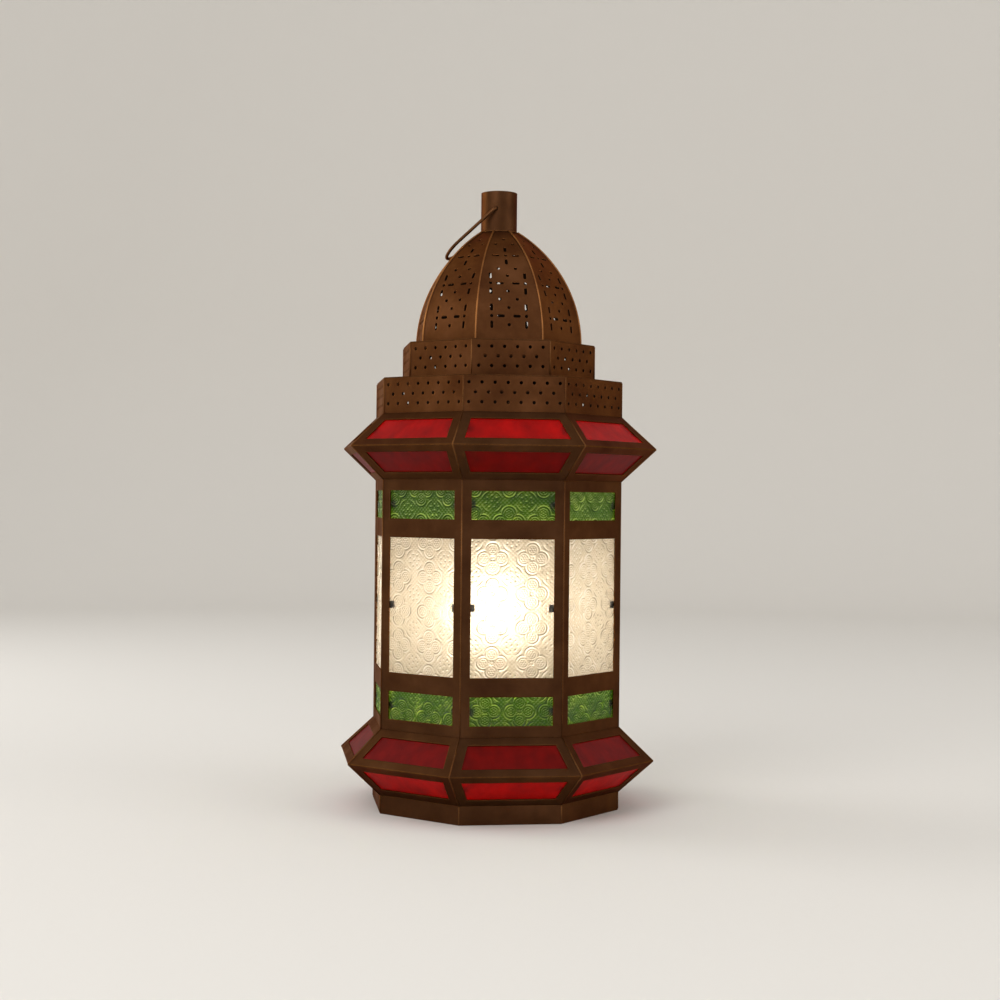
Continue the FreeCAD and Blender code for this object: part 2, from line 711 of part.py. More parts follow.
def make_bail(drop):
    """One bent wire: two stubs in the neck, two legs and a round end."""
    inner = NECK_RADIUS - NECK_WALL - BAIL_STUB
    straight = BAIL_LENGTH - BAIL_HALF
    bend_middle = BAIL_BEND * (1 - math.sqrt(0.5))

    def at(side, out):
        return bail_point(drop, side, out)

    def bend(side):
        start = at(side * (BAIL_HALF - BAIL_BEND), 0)
        middle = at(side * (BAIL_HALF - bend_middle), bend_middle)
        return Part.Arc(start, middle, at(side * BAIL_HALF, BAIL_BEND)).toShape()

    path = [
        Part.makeLine(at(-inner, 0), at(BAIL_BEND - BAIL_HALF, 0)),
        bend(-1),
        Part.makeLine(at(-BAIL_HALF, BAIL_BEND), at(-BAIL_HALF, straight)),
        Part.Arc(at(-BAIL_HALF, straight), at(0, BAIL_LENGTH), at(BAIL_HALF, straight)).toShape(),
        Part.makeLine(at(BAIL_HALF, straight), at(BAIL_HALF, BAIL_BEND)),
        bend(1),
        Part.makeLine(at(BAIL_HALF - BAIL_BEND, 0), at(inner, 0)),
    ]
    axis, hang = bail_frame(drop)
    section = Part.Wire(Part.makeCircle(WIRE_DIAMETER / 2, at(-inner, 0), axis))
    return Part.Wire(Part.__sortEdges__(path)).makePipeShell([section], True, False)


def make_neck_and_bail():
    """Open neck tube at the top, and the wire bail that swings in its two side holes."""
    tube = post(NECK_RADIUS, Z_NECK - NECK_SOCKET, Z_TOP)
    tube = tube.cut(post(NECK_RADIUS - NECK_WALL, Z_NECK - NECK_SOCKET, Z_TOP))
    drop = bail_drop()
    axis, hang = bail_frame(drop)
    hole_start = Vector(0, 0, Z_PIVOT) - axis * (NECK_RADIUS + OVERCUT)
    hole_radius = WIRE_DIAMETER / 2 + BAIL_HOLE_CLEARANCE
    tube = tube.cut(Part.makeCylinder(hole_radius, 2 * (NECK_RADIUS + OVERCUT), hole_start, axis))
    print(f"bail pivot z {Z_PIVOT:.3f}, axis {axis.x:.6f} {axis.y:.6f}, drop {drop:.3f} degrees")
    return {"neck_tube": [tube], "bail_handle": [make_bail(drop)]}


def main():
    nodes = {}
    nodes.update(make_base())
    nodes.update(make_candle())
    nodes.update(make_collar("lower_collar", LOWER_BOTTOM, LOWER_TOP))
    nodes.update(make_body_walls())
    nodes.update(make_door())
    nodes.update(make_hinges())
    nodes.update(make_latch())
    nodes.update(make_collar("upper_collar", UPPER_BOTTOM, UPPER_TOP))
    nodes.update(make_tiers())
    nodes.update(make_dome())
    nodes.update(make_neck_and_bail())

    pin = turned(Part.Vertex(hinge_axis()), DOOR_FACE).Point
    across, height = latch_place()
    print(f"hinge axis x {pin.x:.3f} y {pin.y:.3f}, latch x {-across:.3f} z {height:.3f}")
    os.makedirs("parts", exist_ok=True)
    for name, solids in nodes.items():
        shape = solids[0] if len(solids) == 1 else Part.Compound(solids)
        shape.exportStep(f"parts/{name}.step")
    print(f"{len(nodes)} nodes, {sum(len(solids) for solids in nodes.values())} solids, height {Z_TOP}")


main()
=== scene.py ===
# %% [markdown]
# # Dressing an octagonal candle lantern
# The lantern stands here as bare solids at their real size: folded iron sheets, flat panes, a wire
# bail and a candle. This lesson gives every piece its finish, presses a pattern into the glass, runs
# solder down the seams and lights the candle. The solids are the fixed frame, so nothing is moved.

# %% Open the frame
import json
import math

import bpy
import numpy as np
from mathutils import Matrix, Vector


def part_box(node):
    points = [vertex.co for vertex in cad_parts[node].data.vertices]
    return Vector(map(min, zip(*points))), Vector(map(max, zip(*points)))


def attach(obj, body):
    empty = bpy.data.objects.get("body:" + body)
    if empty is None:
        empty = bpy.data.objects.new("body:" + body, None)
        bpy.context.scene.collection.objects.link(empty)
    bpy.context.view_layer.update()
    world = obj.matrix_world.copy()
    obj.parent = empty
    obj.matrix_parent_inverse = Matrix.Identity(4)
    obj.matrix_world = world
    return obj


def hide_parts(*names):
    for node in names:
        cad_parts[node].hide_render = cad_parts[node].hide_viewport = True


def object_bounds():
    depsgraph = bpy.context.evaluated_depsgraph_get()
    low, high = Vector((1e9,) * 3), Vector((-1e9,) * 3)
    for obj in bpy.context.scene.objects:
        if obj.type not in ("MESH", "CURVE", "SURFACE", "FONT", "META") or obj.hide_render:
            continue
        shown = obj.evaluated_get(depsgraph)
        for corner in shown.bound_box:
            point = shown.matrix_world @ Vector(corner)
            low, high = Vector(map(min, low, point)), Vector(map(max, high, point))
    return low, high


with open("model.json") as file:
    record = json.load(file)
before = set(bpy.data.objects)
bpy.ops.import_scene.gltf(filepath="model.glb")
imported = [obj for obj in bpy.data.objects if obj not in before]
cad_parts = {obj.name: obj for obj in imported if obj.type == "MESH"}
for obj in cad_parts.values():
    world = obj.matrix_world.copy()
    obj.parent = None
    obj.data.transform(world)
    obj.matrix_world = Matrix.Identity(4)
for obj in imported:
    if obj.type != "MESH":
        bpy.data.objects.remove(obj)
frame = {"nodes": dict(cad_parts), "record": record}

CAD_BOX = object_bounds()
MM = 0.001
print("solids in the frame:", len(frame["nodes"]))

# %% [markdown]
# ## Sizes that the dressing needs
# Places and spans are read from the solids, so a bigger lantern would be dressed in the same way. An
# octagon is measured by its apothem, from the axis to the middle of a side, and its corners lie
# further out by one over the cosine of 22.5 degrees.

# %% Measure the solids
SIDES = 8
TURN = 2 * math.pi / SIDES
CORNER = 1 / math.cos(TURN / 2)
FACE_NAMES = ["front", "front_right", "right", "back_right", "back", "back_left", "left", "front_left"]
DOOR_FACE = FACE_NAMES.index("back")


def heights(solid):
    """The lowest and the highest level of a solid."""
    low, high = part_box(solid)
    return low.z, high.z


pane_low, pane_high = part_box("clear_pane_front")
PANE_APOTHEM = -pane_low.y
PANE_HALF_WIDTH = pane_high.x
GLASS = pane_high.y - pane_low.y
CLEAR_SPAN = heights("clear_pane_front")
LOWER_GREEN_SPAN = heights("lower_green_panes")
UPPER_GREEN_SPAN = heights("upper_green_panes")
BODY_APOTHEM = -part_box("body_frame_front")[0].y
RIDGE_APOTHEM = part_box("lower_collar_top_frames")[1].x
print(f"body apothem {BODY_APOTHEM / MM:.1f} mm, glass {GLASS / MM:.1f} mm thick")

# %% [markdown]
# ## The camera
# The photograph was taken from a little to the left of the front face, level with the upper green
# panes. The place, the lens and the small roll come from matching the octagon's edges.

# %% Stand the camera where the photograph was taken
CAMERA_AZIMUTH = math.radians(-8.14)
CAMERA_DISTANCE = 1340 * MM
CAMERA_HEIGHT = 236.3 * MM
CAMERA_SIDESTEP = 3 * MM
CAMERA_ROLL = math.radians(0.59)
CAMERA_LENS = 61.85
SENSOR_WIDTH = 36

bpy.ops.object.select_all(action="DESELECT")
bpy.ops.object.camera_add()
camera = bpy.context.object
camera.name = "photo_camera"
camera.data.lens = CAMERA_LENS
camera.data.sensor_width = SENSOR_WIDTH
to_front = Vector((math.sin(CAMERA_AZIMUTH), -math.cos(CAMERA_AZIMUTH), 0))
to_right = Vector((math.cos(CAMERA_AZIMUTH), math.sin(CAMERA_AZIMUTH), 0))
viewpoint = CAMERA_DISTANCE * to_front + CAMERA_SIDESTEP * to_right + Vector((0, 0, CAMERA_HEIGHT))
level_view = Matrix.Rotation(CAMERA_AZIMUTH, 4, "Z") @ Matrix.Rotation(math.pi / 2, 4, "X")
camera.matrix_world = Matrix.Translation(viewpoint) @ level_view @ Matrix.Rotation(CAMERA_ROLL, 4, "Z")
bpy.context.scene.camera = camera
print("camera at", [round(c, 3) for c in viewpoint])

# %% [markdown]
# ## Helpers for materials
# A colour that is given here is an sRGB value, while the shaders work in linear light, so one function
# turns the first into the second. Another adds a node: an input that is given a socket is linked to
# it, and any other value is simply set. A texture's scale counts features to the metre, so the last
# one works it out from the real size of a feature.

# %% Helpers for materials
def srgb(text):
    """The linear colour of an sRGB hex value."""
    channels = [int(text[i:i + 2], 16) / 255 for i in (1, 3, 5)]
    linear = [c / 12.92 if c <= 0.04045 else ((c + 0.055) / 1.055) ** 2.4 for c in channels]
    return (*linear, 1.0)


def node(tree, kind, inputs=None, stops=(), **settings):
    """Add one node with its settings, its linked or set inputs and the stops of its ramp."""
    made = tree.nodes.new(kind)
    for name, value in settings.items():
        setattr(made, name, value)
    for name, value in (inputs or {}).items():
        if isinstance(value, bpy.types.NodeSocket):
            tree.links.new(value, made.inputs[name])
        else:
            made.inputs[name].default_value = value
    if stops:
        ramp = made.color_ramp.elements
        for stop, (position, colour) in ((ramp[0], stops[0]), (ramp[-1], stops[-1])):
            stop.position = position
            stop.color = colour
        for position, colour in stops[1:-1]:
            ramp.new(position).color = colour
    return made


def new_material(name):
    """An empty material and its node tree."""
    material = bpy.data.materials.new(name)
    material.use_nodes = True
    material.node_tree.nodes.clear()
    return material, material.node_tree


def per_size(millimetres):
    """The texture scale at which a pattern's features are about this size."""
    return 1 / (millimetres * MM)


print("a mid grey of #808080 is", round(srgb("#808080")[0], 3), "in linear light")

# %% [markdown]
# ## The floor
# A studio floor that rolls up into the wall has no line where they meet, so the lantern stands alone
# in the picture. Here it is a round bowl: a disc whose rim is extruded outwards and upwards along a
# quarter circle, and it looks the same from every side.

# %% A round studio floor
FLOOR_RADIUS = 2.4
FLOOR_POINTS = 96
SWEEP_RADIUS = 0.7
SWEEP_STEPS = 10
WALL_HEIGHT = 1.1

bpy.ops.object.select_all(action="DESELECT")
bpy.ops.mesh.primitive_circle_add(vertices=FLOOR_POINTS, radius=FLOOR_RADIUS, fill_type="NGON")
floor = bpy.context.object
floor.name = "studio_floor"
bpy.ops.object.mode_set(mode="EDIT")
bpy.ops.mesh.select_all(action="SELECT")
bpy.ops.mesh.region_to_loop()
rim_radius, rim_height = FLOOR_RADIUS, 0.0
for step in range(1, SWEEP_STEPS + 1):
    lean = math.pi / 2 * step / SWEEP_STEPS
    radius = FLOOR_RADIUS + SWEEP_RADIUS * math.sin(lean)
    height = SWEEP_RADIUS * (1 - math.cos(lean))
    grow = radius / rim_radius
    bpy.ops.mesh.extrude_region_move(TRANSFORM_OT_translate={"value": (0, 0, height - rim_height)})
    bpy.ops.transform.resize(value=(grow, grow, 1), center_override=(0, 0, height))
    rim_radius, rim_height = radius, height
bpy.ops.mesh.extrude_region_move(TRANSFORM_OT_translate={"value": (0, 0, WALL_HEIGHT)})
bpy.ops.object.mode_set(mode="OBJECT")
bpy.ops.object.shade_smooth()

# Matt painted board: a warm pale grey with no shine, so only soft shadows show on it.
painted_board, tree = new_material("matt_painted_board")
board = node(tree, "ShaderNodeBsdfPrincipled", {"Base Color": srgb("#E4E1DC"), "Roughness": 0.9,
                                                "Specular IOR Level": 0.2})
node(tree, "ShaderNodeOutputMaterial", {"Surface": board.outputs["BSDF"]})
floor.data.materials.append(painted_board)
print("floor bowl:", len(floor.data.polygons), "faces")

# %% [markdown]
# ## Studio light
# A pale world fills from all sides, one wide lamp to the upper left models the folds of the sheet,
# a weaker one from the right keeps that side readable, and one from the far left, a little behind,
# lights the edge that is bright in the photograph. All are large, so the shadows are soft.

# %% World and studio lamps
WORLD_STRENGTH = 0.7
# Each lamp is its place and its width in metres, and its power in watts.
STUDIO_LAMPS = {
    "key_lamp": ((-1.2, -1.5, 1.5), 1.3, 18.0),
    "fill_lamp": ((1.6, -1.0, 1.0), 1.3, 7.0),
    "side_lamp": ((-1.7, 0.9, 0.8), 1.0, 13.0),
}
LANTERN_MIDDLE = (CAD_BOX[0] + CAD_BOX[1]) / 2

world = bpy.data.worlds.new("pale_studio")
bpy.context.scene.world = world
world.use_nodes = True
world.node_tree.nodes["Background"].inputs["Color"].default_value = srgb("#FFFDFA")
world.node_tree.nodes["Background"].inputs["Strength"].default_value = WORLD_STRENGTH
for name, (spot, width, watts) in STUDIO_LAMPS.items():
    bpy.ops.object.light_add(type="AREA", location=spot)
    lamp = bpy.context.object
    lamp.name = name
    lamp.data.size = width
    lamp.data.energy = watts
    lamp.rotation_euler = (LANTERN_MIDDLE - Vector(spot)).to_track_quat("-Z", "Y").to_euler()
bpy.context.scene.view_settings.view_transform = "Standard"
print("lamps:", sorted(STUDIO_LAMPS))

# %% [markdown]
# ## Browned iron sheet
# The shell is thin iron sheet, cut, punched, folded and given a brown, waxed finish. It is cloudy
# where the brown took unevenly, and rubbed to a copper tone along cut edges and folds. The cloud is
# one soft noise of about 32 mm. The rubbed edges come from a Bevel node: where its rounded normal
# leaves the true normal there is an edge close by. The same rounded normal lights the folds, which
# look soft, as bent sheet does. Seen at a glancing angle a metal turns into a pale mirror, but the
# wax stays brown there, so the specular tint is brown too. The punched sheets of the dome and tiers
# are hardly rubbed, so that their holes stay dark. Solder on the dome's ridges is rubbed bright, and
# solder in the folds is browned over. The clips are only oil-blackened.

# %% Browned iron
CLOUD_SIZE = 32
GRAIN_SIZE = 1.1
DENT_SIZE = 16
WEAR_WIDTH = 1.1 * MM
GRAZING = "#D0A67A"
METAL_SHARE = 0.9


def browned_iron(name, dark, middle, light, rubbed, dullness, rubbing):
    """Waxed brown iron: cloudy brown, fine grain, shallow dents and rubbed edges."""
    material, tree = new_material(name)
    place = node(tree, "ShaderNodeTexCoord").outputs["Object"]
    cloud = node(tree, "ShaderNodeTexNoise", {"Vector": place, "Scale": per_size(CLOUD_SIZE),
                                              "Detail": 5.0, "Roughness": 0.6})
    grain = node(tree, "ShaderNodeTexNoise", {"Vector": place, "Scale": per_size(GRAIN_SIZE),
                                              "Detail": 3.0})
    dent = node(tree, "ShaderNodeTexNoise", {"Vector": place, "Scale": per_size(DENT_SIZE),
                                             "Detail": 1.0})
    brown = node(tree, "ShaderNodeValToRGB", {"Fac": cloud.outputs["Fac"]},
                 stops=((0.32, srgb(dark)), (0.5, srgb(middle)), (0.68, srgb(light))))
    flat = node(tree, "ShaderNodeNewGeometry")
    rounded = node(tree, "ShaderNodeBevel", {"Radius": WEAR_WIDTH}, samples=6)
    facing = node(tree, "ShaderNodeVectorMath", {0: rounded.outputs["Normal"],
                                                 1: flat.outputs["Normal"]}, operation="DOT_PRODUCT")
    edge = node(tree, "ShaderNodeMapRange", {"Value": facing.outputs["Value"], "From Min": 0.995,
                                             "From Max": 0.86, "To Max": rubbing})
    patchy = node(tree, "ShaderNodeMapRange", {"Value": grain.outputs["Fac"], "From Min": 0.3,
                                               "From Max": 0.6})
    wear = node(tree, "ShaderNodeMath", {0: edge.outputs["Result"], 1: patchy.outputs["Result"]},
                operation="MULTIPLY")
    colour = node(tree, "ShaderNodeMix", {"Factor": wear.outputs["Value"], "A": brown.outputs["Color"],
                                          "B": srgb(rubbed)}, data_type="RGBA")
    roughness = node(tree, "ShaderNodeMapRange", {"Value": cloud.outputs["Fac"], "From Min": 0.3,
                                                  "From Max": 0.7, "To Min": dullness + 0.1,
                                                  "To Max": dullness - 0.06})
    hollows = node(tree, "ShaderNodeBump", {"Height": dent.outputs["Fac"], "Strength": 0.25,
                                            "Distance": 0.6 * MM, "Normal": rounded.outputs["Normal"]})
    surface = node(tree, "ShaderNodeBump", {"Height": grain.outputs["Fac"], "Strength": 0.2,
                                            "Distance": 0.15 * MM, "Normal": hollows.outputs["Normal"]})
    iron = node(tree, "ShaderNodeBsdfPrincipled", {"Base Color": colour.outputs["Result"],
                                                   "Metallic": METAL_SHARE,
                                                   "Roughness": roughness.outputs["Result"],
                                                   "Specular Tint": srgb(GRAZING),
                                                   "Normal": surface.outputs["Normal"]})
    node(tree, "ShaderNodeOutputMaterial", {"Surface": iron.outputs["BSDF"]})
    return material


sheet_iron = browned_iron("browned_iron_sheet", "#402616", "#4B2F1C", "#573823", "#875729",
                          dullness=0.44, rubbing=0.5)
punched_iron = browned_iron("browned_iron_punched", "#4D2D19", "#5B3820", "#6A4329", "#966132",
                            dullness=0.42, rubbing=0.12)
dome_solder = browned_iron("rubbed_solder_seam", "#704628", "#8A5B34", "#A36E40", "#BC8650",
                           dullness=0.4, rubbing=0.5)
fold_solder = browned_iron("browned_solder_seam", "#54321C", "#624025", "#724C2D", "#A06C3C",
                           dullness=0.42, rubbing=0.4)
wire_iron = browned_iron("browned_iron_wire", "#47301D", "#5B3B24", "#704A2D", "#A87748",
                         dullness=0.38, rubbing=0.5)
clip_iron = browned_iron("oil_blackened_iron", "#1E1611", "#271C15", "#32251B", "#4B3524",
                         dullness=0.5, rubbing=0.3)
irons = (sheet_iron, punched_iron, dome_solder, fold_solder, wire_iron, clip_iron)
print("made", [material.name for material in irons])

# %% [markdown]
# ## Soot and painted shade
# Candle smoke blackens the inside of the punched sheets, and that black is also painted shade: it
# keeps their holes dark from outside although the flame burns below. A face lies inside where its
# normal looks back towards the lantern's axis. The walls of the holes look sideways, and they are
# painted dark too, as shade in the holes. Soot is a loose powder and no metal, so it has no metallic
# share and hardly a shine.

# %% Blacken the inside of the punched sheets, with soot and painted shade
SOOT_AND_SHADE = "#120C09"


def blacken_inside(material):
    """Soot and painted shade on every face that doesn't look away from the axis."""
    tree = material.node_tree
    iron = tree.nodes["Principled BSDF"]
    brown, dullness = [iron.inputs[name].links[0].from_socket for name in ("Base Color", "Roughness")]
    place = node(tree, "ShaderNodeTexCoord").outputs["Object"]
    from_axis = node(tree, "ShaderNodeVectorMath", {0: place, 1: (1, 1, 0)}, operation="MULTIPLY")
    away = node(tree, "ShaderNodeVectorMath", {0: from_axis.outputs["Vector"]}, operation="NORMALIZE")
    face = node(tree, "ShaderNodeNewGeometry").outputs["True Normal"]
    outwards = node(tree, "ShaderNodeVectorMath", {0: away.outputs["Vector"], 1: face},
                    operation="DOT_PRODUCT")
    # Faces that don't look away from the axis, inside and in the holes, are painted near black: soot,
    # and painted shade in the holes.
    soot_and_shade = node(tree, "ShaderNodeMapRange", {"Value": outwards.outputs["Value"], "From Min": 0.4,
                                              "From Max": 0.1})
    colour = node(tree, "ShaderNodeMix", {"Factor": soot_and_shade.outputs["Result"], "A": brown,
                                          "B": srgb(SOOT_AND_SHADE)}, data_type="RGBA")
    metal = node(tree, "ShaderNodeMapRange", {"Value": soot_and_shade.outputs["Result"], "To Min": METAL_SHARE,
                                              "To Max": 0.0})
    roughness = node(tree, "ShaderNodeMath", {0: dullness, 1: soot_and_shade.outputs["Result"]},
                     operation="MAXIMUM")
    tree.links.new(colour.outputs["Result"], iron.inputs["Base Color"])
    tree.links.new(metal.outputs["Result"], iron.inputs["Metallic"])
    tree.links.new(roughness.outputs["Value"], iron.inputs["Roughness"])
    iron.inputs["Specular IOR Level"].default_value = 0.1


blacken_inside(punched_iron)
print("soot inside", punched_iron.name)

# %% [markdown]
# ## Small metal parts
# The hinge pins are drawn steel, bright and a little oily, and the latch is turned brass, gone warm
# and dull from handling. Both are nearly plain metals, so only a fine streak breaks their shine.

# %% Steel and brass
STREAK_SIZE = 0.9


def plain_metal(name, light, dull, low, high):
    """A bare metal whose colour and roughness change a little from streak to streak."""
    material, tree = new_material(name)
    place = node(tree, "ShaderNodeTexCoord").outputs["Object"]
    streak = node(tree, "ShaderNodeTexNoise", {"Vector": place, "Scale": per_size(STREAK_SIZE),
                                               "Detail": 4.0})
    colour = node(tree, "ShaderNodeValToRGB", {"Fac": streak.outputs["Fac"]},
                  stops=((0.35, srgb(dull)), (0.65, srgb(light))))
    roughness = node(tree, "ShaderNodeMapRange", {"Value": streak.outputs["Fac"], "To Min": low,
                                                  "To Max": high})
    metal = node(tree, "ShaderNodeBsdfPrincipled", {"Base Color": colour.outputs["Color"],
                                                    "Metallic": 1.0,
                                                    "Roughness": roughness.outputs["Result"]})
    node(tree, "ShaderNodeOutputMaterial", {"Surface": metal.outputs["BSDF"]})
    return material


pin_steel = plain_metal("drawn_steel", "#B9B6B0", "#7F7A73", low=0.25, high=0.5)
latch_brass = plain_metal("handled_brass", "#B58A45", "#86622C", low=0.28, high=0.55)
print("made", pin_steel.name, "and", latch_brass.name)

# %% [markdown]
# ## Glass
# The panes are cathedral glass, rolled between iron rollers: one roller is cut with a pattern and
# leaves it standing on the sheet. The glass is faintly cloudy, so that a flame behind it lights the
# whole pane. A clear Principled glass passes the flame itself, a Translucent shader spreads its
# light, and the two are mixed. The slopes of the pattern are small prisms, whose light and shade are
# painted into the colour: the side that bends the flame's light towards us gets a painted highlight,
# and the other side painted shade. How each point is tilted to the flame is kept with the mesh, as an
# attribute that the colour reads. The red glass is plain. Its colour lies in a thin, milky coat that
# shows in daylight too, so it is less clear, and the rollers have drawn its ripples out into upright
# streaks, which alone change its tone.

# %% Rolled glass
RIPPLE_SIZE = 9
SEED_SIZE = 1.6


def rolled_glass(name, low_end_and_painted_shade, ground, high_end_and_painted_highlight, haze, spread, streaks, clearness, drawn):
    """Cathedral glass: clear and cloudy glass mixed, with painted highlight and shade on the slopes of
    the pattern.
    """
    material, tree = new_material(name)
    place = node(tree, "ShaderNodeTexCoord").outputs["Object"]
    tilt = node(tree, "ShaderNodeAttribute", attribute_name="tilt")
    stretched = node(tree, "ShaderNodeMapping", {"Vector": place, "Scale": (1, 1, 1 / drawn)})
    ripple = node(tree, "ShaderNodeTexNoise", {"Vector": stretched.outputs["Vector"],
                                               "Scale": per_size(RIPPLE_SIZE), "Detail": 2.0})
    seed = node(tree, "ShaderNodeTexNoise", {"Vector": place, "Scale": per_size(SEED_SIZE),
                                             "Detail": 2.0})
    # The tone adds the tilt to the flame to a random ripple, so the ramp's ends paint highlight and
    # shade on the slopes of the pattern.
    tone = node(tree, "ShaderNodeMath", {0: ripple.outputs["Fac"], 1: streaks, 2: tilt.outputs["Fac"]},
                operation="MULTIPLY_ADD")
    colour = node(tree, "ShaderNodeValToRGB", {"Fac": tone.outputs["Value"]},
                  stops=((0.2, srgb(low_end_and_painted_shade)), (0.62, srgb(ground)), (0.95, srgb(high_end_and_painted_highlight))))
    waves = node(tree, "ShaderNodeBump", {"Height": ripple.outputs["Fac"], "Strength": 0.3,
                                          "Distance": 0.5 * MM})
    surface = node(tree, "ShaderNodeBump", {"Height": seed.outputs["Fac"], "Strength": 0.25,
                                            "Distance": 0.2 * MM, "Normal": waves.outputs["Normal"]})
    clear = node(tree, "ShaderNodeBsdfPrincipled", {"Base Color": colour.outputs["Color"],
                                                    "Roughness": haze, "IOR": 1.5,
                                                    "Transmission Weight": clearness,
                                                    "Specular IOR Level": 0.1,
                                                    "Normal": surface.outputs["Normal"]})
    cloudy = node(tree, "ShaderNodeBsdfTranslucent", {"Color": colour.outputs["Color"],
                                                      "Normal": surface.outputs["Normal"]})
    both = node(tree, "ShaderNodeMixShader", {"Fac": spread, 1: clear.outputs["BSDF"],
                                              2: cloudy.outputs["BSDF"]})
    node(tree, "ShaderNodeOutputMaterial", {"Surface": both.outputs["Shader"]})
    return material


# Each first colour is the painted shade and each third a painted highlight of the pressed panes. The red
# panes carry no tilt, so on them those ends are only ripple tone.
clear_glass = rolled_glass("clear_cathedral_glass", "#7E7566", "#DAD3C5", "#FFFFFF",
                           haze=0.36, spread=0.16, streaks=0.25, clearness=0.97, drawn=1)
green_glass = rolled_glass("green_cathedral_glass", "#0C1E01", "#4F760E", "#F4FF96",
                           haze=0.35, spread=0.32, streaks=0.25, clearness=0.95, drawn=1)
red_glass = rolled_glass("red_flashed_glass", "#BE120A", "#940B07", "#940B07",
                         haze=0.35, spread=0.62, streaks=0.75, clearness=0.4, drawn=5)
print("made", clear_glass.name, green_glass.name, red_glass.name)

# %% [markdown]
# ## Finishes on the solids
# Most solids keep their shape and only need their finish. The record says which material slot each
# one belongs to, so a table from slot to finish dresses them, and only the punched sheets and the
# clips are picked out by name. The patterned panes, the candle and the wick aren't in the table,
# because new pieces take their place further on.

# %% Dress the solids
FINISHES = {
    "aged_iron_sheet": sheet_iron,
    "iron_wire": wire_iron,
    "steel_pin": pin_steel,
    "brass_latch": latch_brass,
    "red_glass": red_glass,
}


def dress(piece, material):
    """Give a piece this one material."""
    piece.data.materials.clear()
    piece.data.materials.append(material)


dressed = 0
for subpart in frame["record"]["subparts"]:
    solid = subpart["node"]
    finish = FINISHES.get(subpart["material_slot"])
    if solid.startswith("dome_gore") or solid.endswith("tier_panels"):
        finish = punched_iron
    if solid.endswith("clips"):
        finish = clip_iron
    if finish:
        dress(frame["nodes"][solid], finish)
        dressed += 1
print("solids dressed:", dressed)

# %% [markdown]
# ## The pressed pattern
# The roller's pattern is a lattice of quatrefoils: four round lobes with a flower of dots in each,
# about a small rosette, and a larger flower of dots in each gap between four of them. The height of
# the glass is worked out from distances: a line of the pattern is a rounded rib wherever the distance
# to it is small. Folding the coordinates by the pitch repeats one medallion over the sheet, and a
# fine hammered grain fills the ground.

# %% Ribs and flowers
DOT = 1.15 * MM
SMALL_DOT = 0.85 * MM


def rib(distance, width):
    """A rounded ridge: 1 on the line, 0 from half its width away."""
    rise = np.clip(1 - 2 * np.abs(distance) / width, 0, 1)
    return rise * rise * (3 - 2 * rise)


def fold(values, pitch, start):
    """Distances from the nearest point of a row of this pitch."""
    return (values - start + pitch / 2) % pitch - pitch / 2


def flower(across, up, ring, count, stud):
    """A ring of round studs with one in the middle."""
    height = rib(np.hypot(across, up), 2 * stud)
    for index in range(count):
        angle = 2 * math.pi * index / count
        away = np.hypot(across - ring * math.cos(angle), up - ring * math.sin(angle))
        height = np.maximum(height, rib(away, 2 * stud))
    return height


print(f"a small dot is {2 * SMALL_DOT / MM:.1f} mm wide and a large one {2 * DOT / MM:.1f} mm")

# %% [markdown]
# The ribs, flowers and grain are laid over each other, and the highest one counts. Heights are shares
# of the full relief. The slope of the finished pattern, measured over a short step, then tells how far
# each point of the glass is tilted to the flame, and the glass colour paints highlight and shade from
# it.

# %% Height and tilt of the pressed pattern
PITCH_ACROSS = 29.5 * MM
PITCH_UP = 25.4 * MM
RELIEF = 0.8 * MM
HAMMER_PITCH = 3.0 * MM
HAMMER_HEIGHT = 0.3
LOBE_RADIUS = 5.3 * MM
LOBE_OFFSET = 6.3 * MM
LOBE_RING = 1.8 * MM
LOBE_DOTS = 6
LOBE_HEIGHT = 0.8
RIB = 1.8 * MM
INNER_LINE = 2.0 * MM
INNER_RIB = 0.7 * RIB
INNER_HEIGHT = 0.6
ROSETTE_RING = 1.9 * MM
ROSETTE_DOTS = 8
ROSETTE_HEIGHT = 0.9
FLOWER_RING = 4.3 * MM
FLOWER_DOTS = 7
LEAF_RADIUS = 7.6 * MM
LEAF_HEIGHT = 0.8
LEAF_GAP = 0.8
SLOPE_STEP = RIB / 8
FLAT_TILT = 0.5
QUARTERS = ((1, 0), (0, 1), (-1, 0), (0, -1))


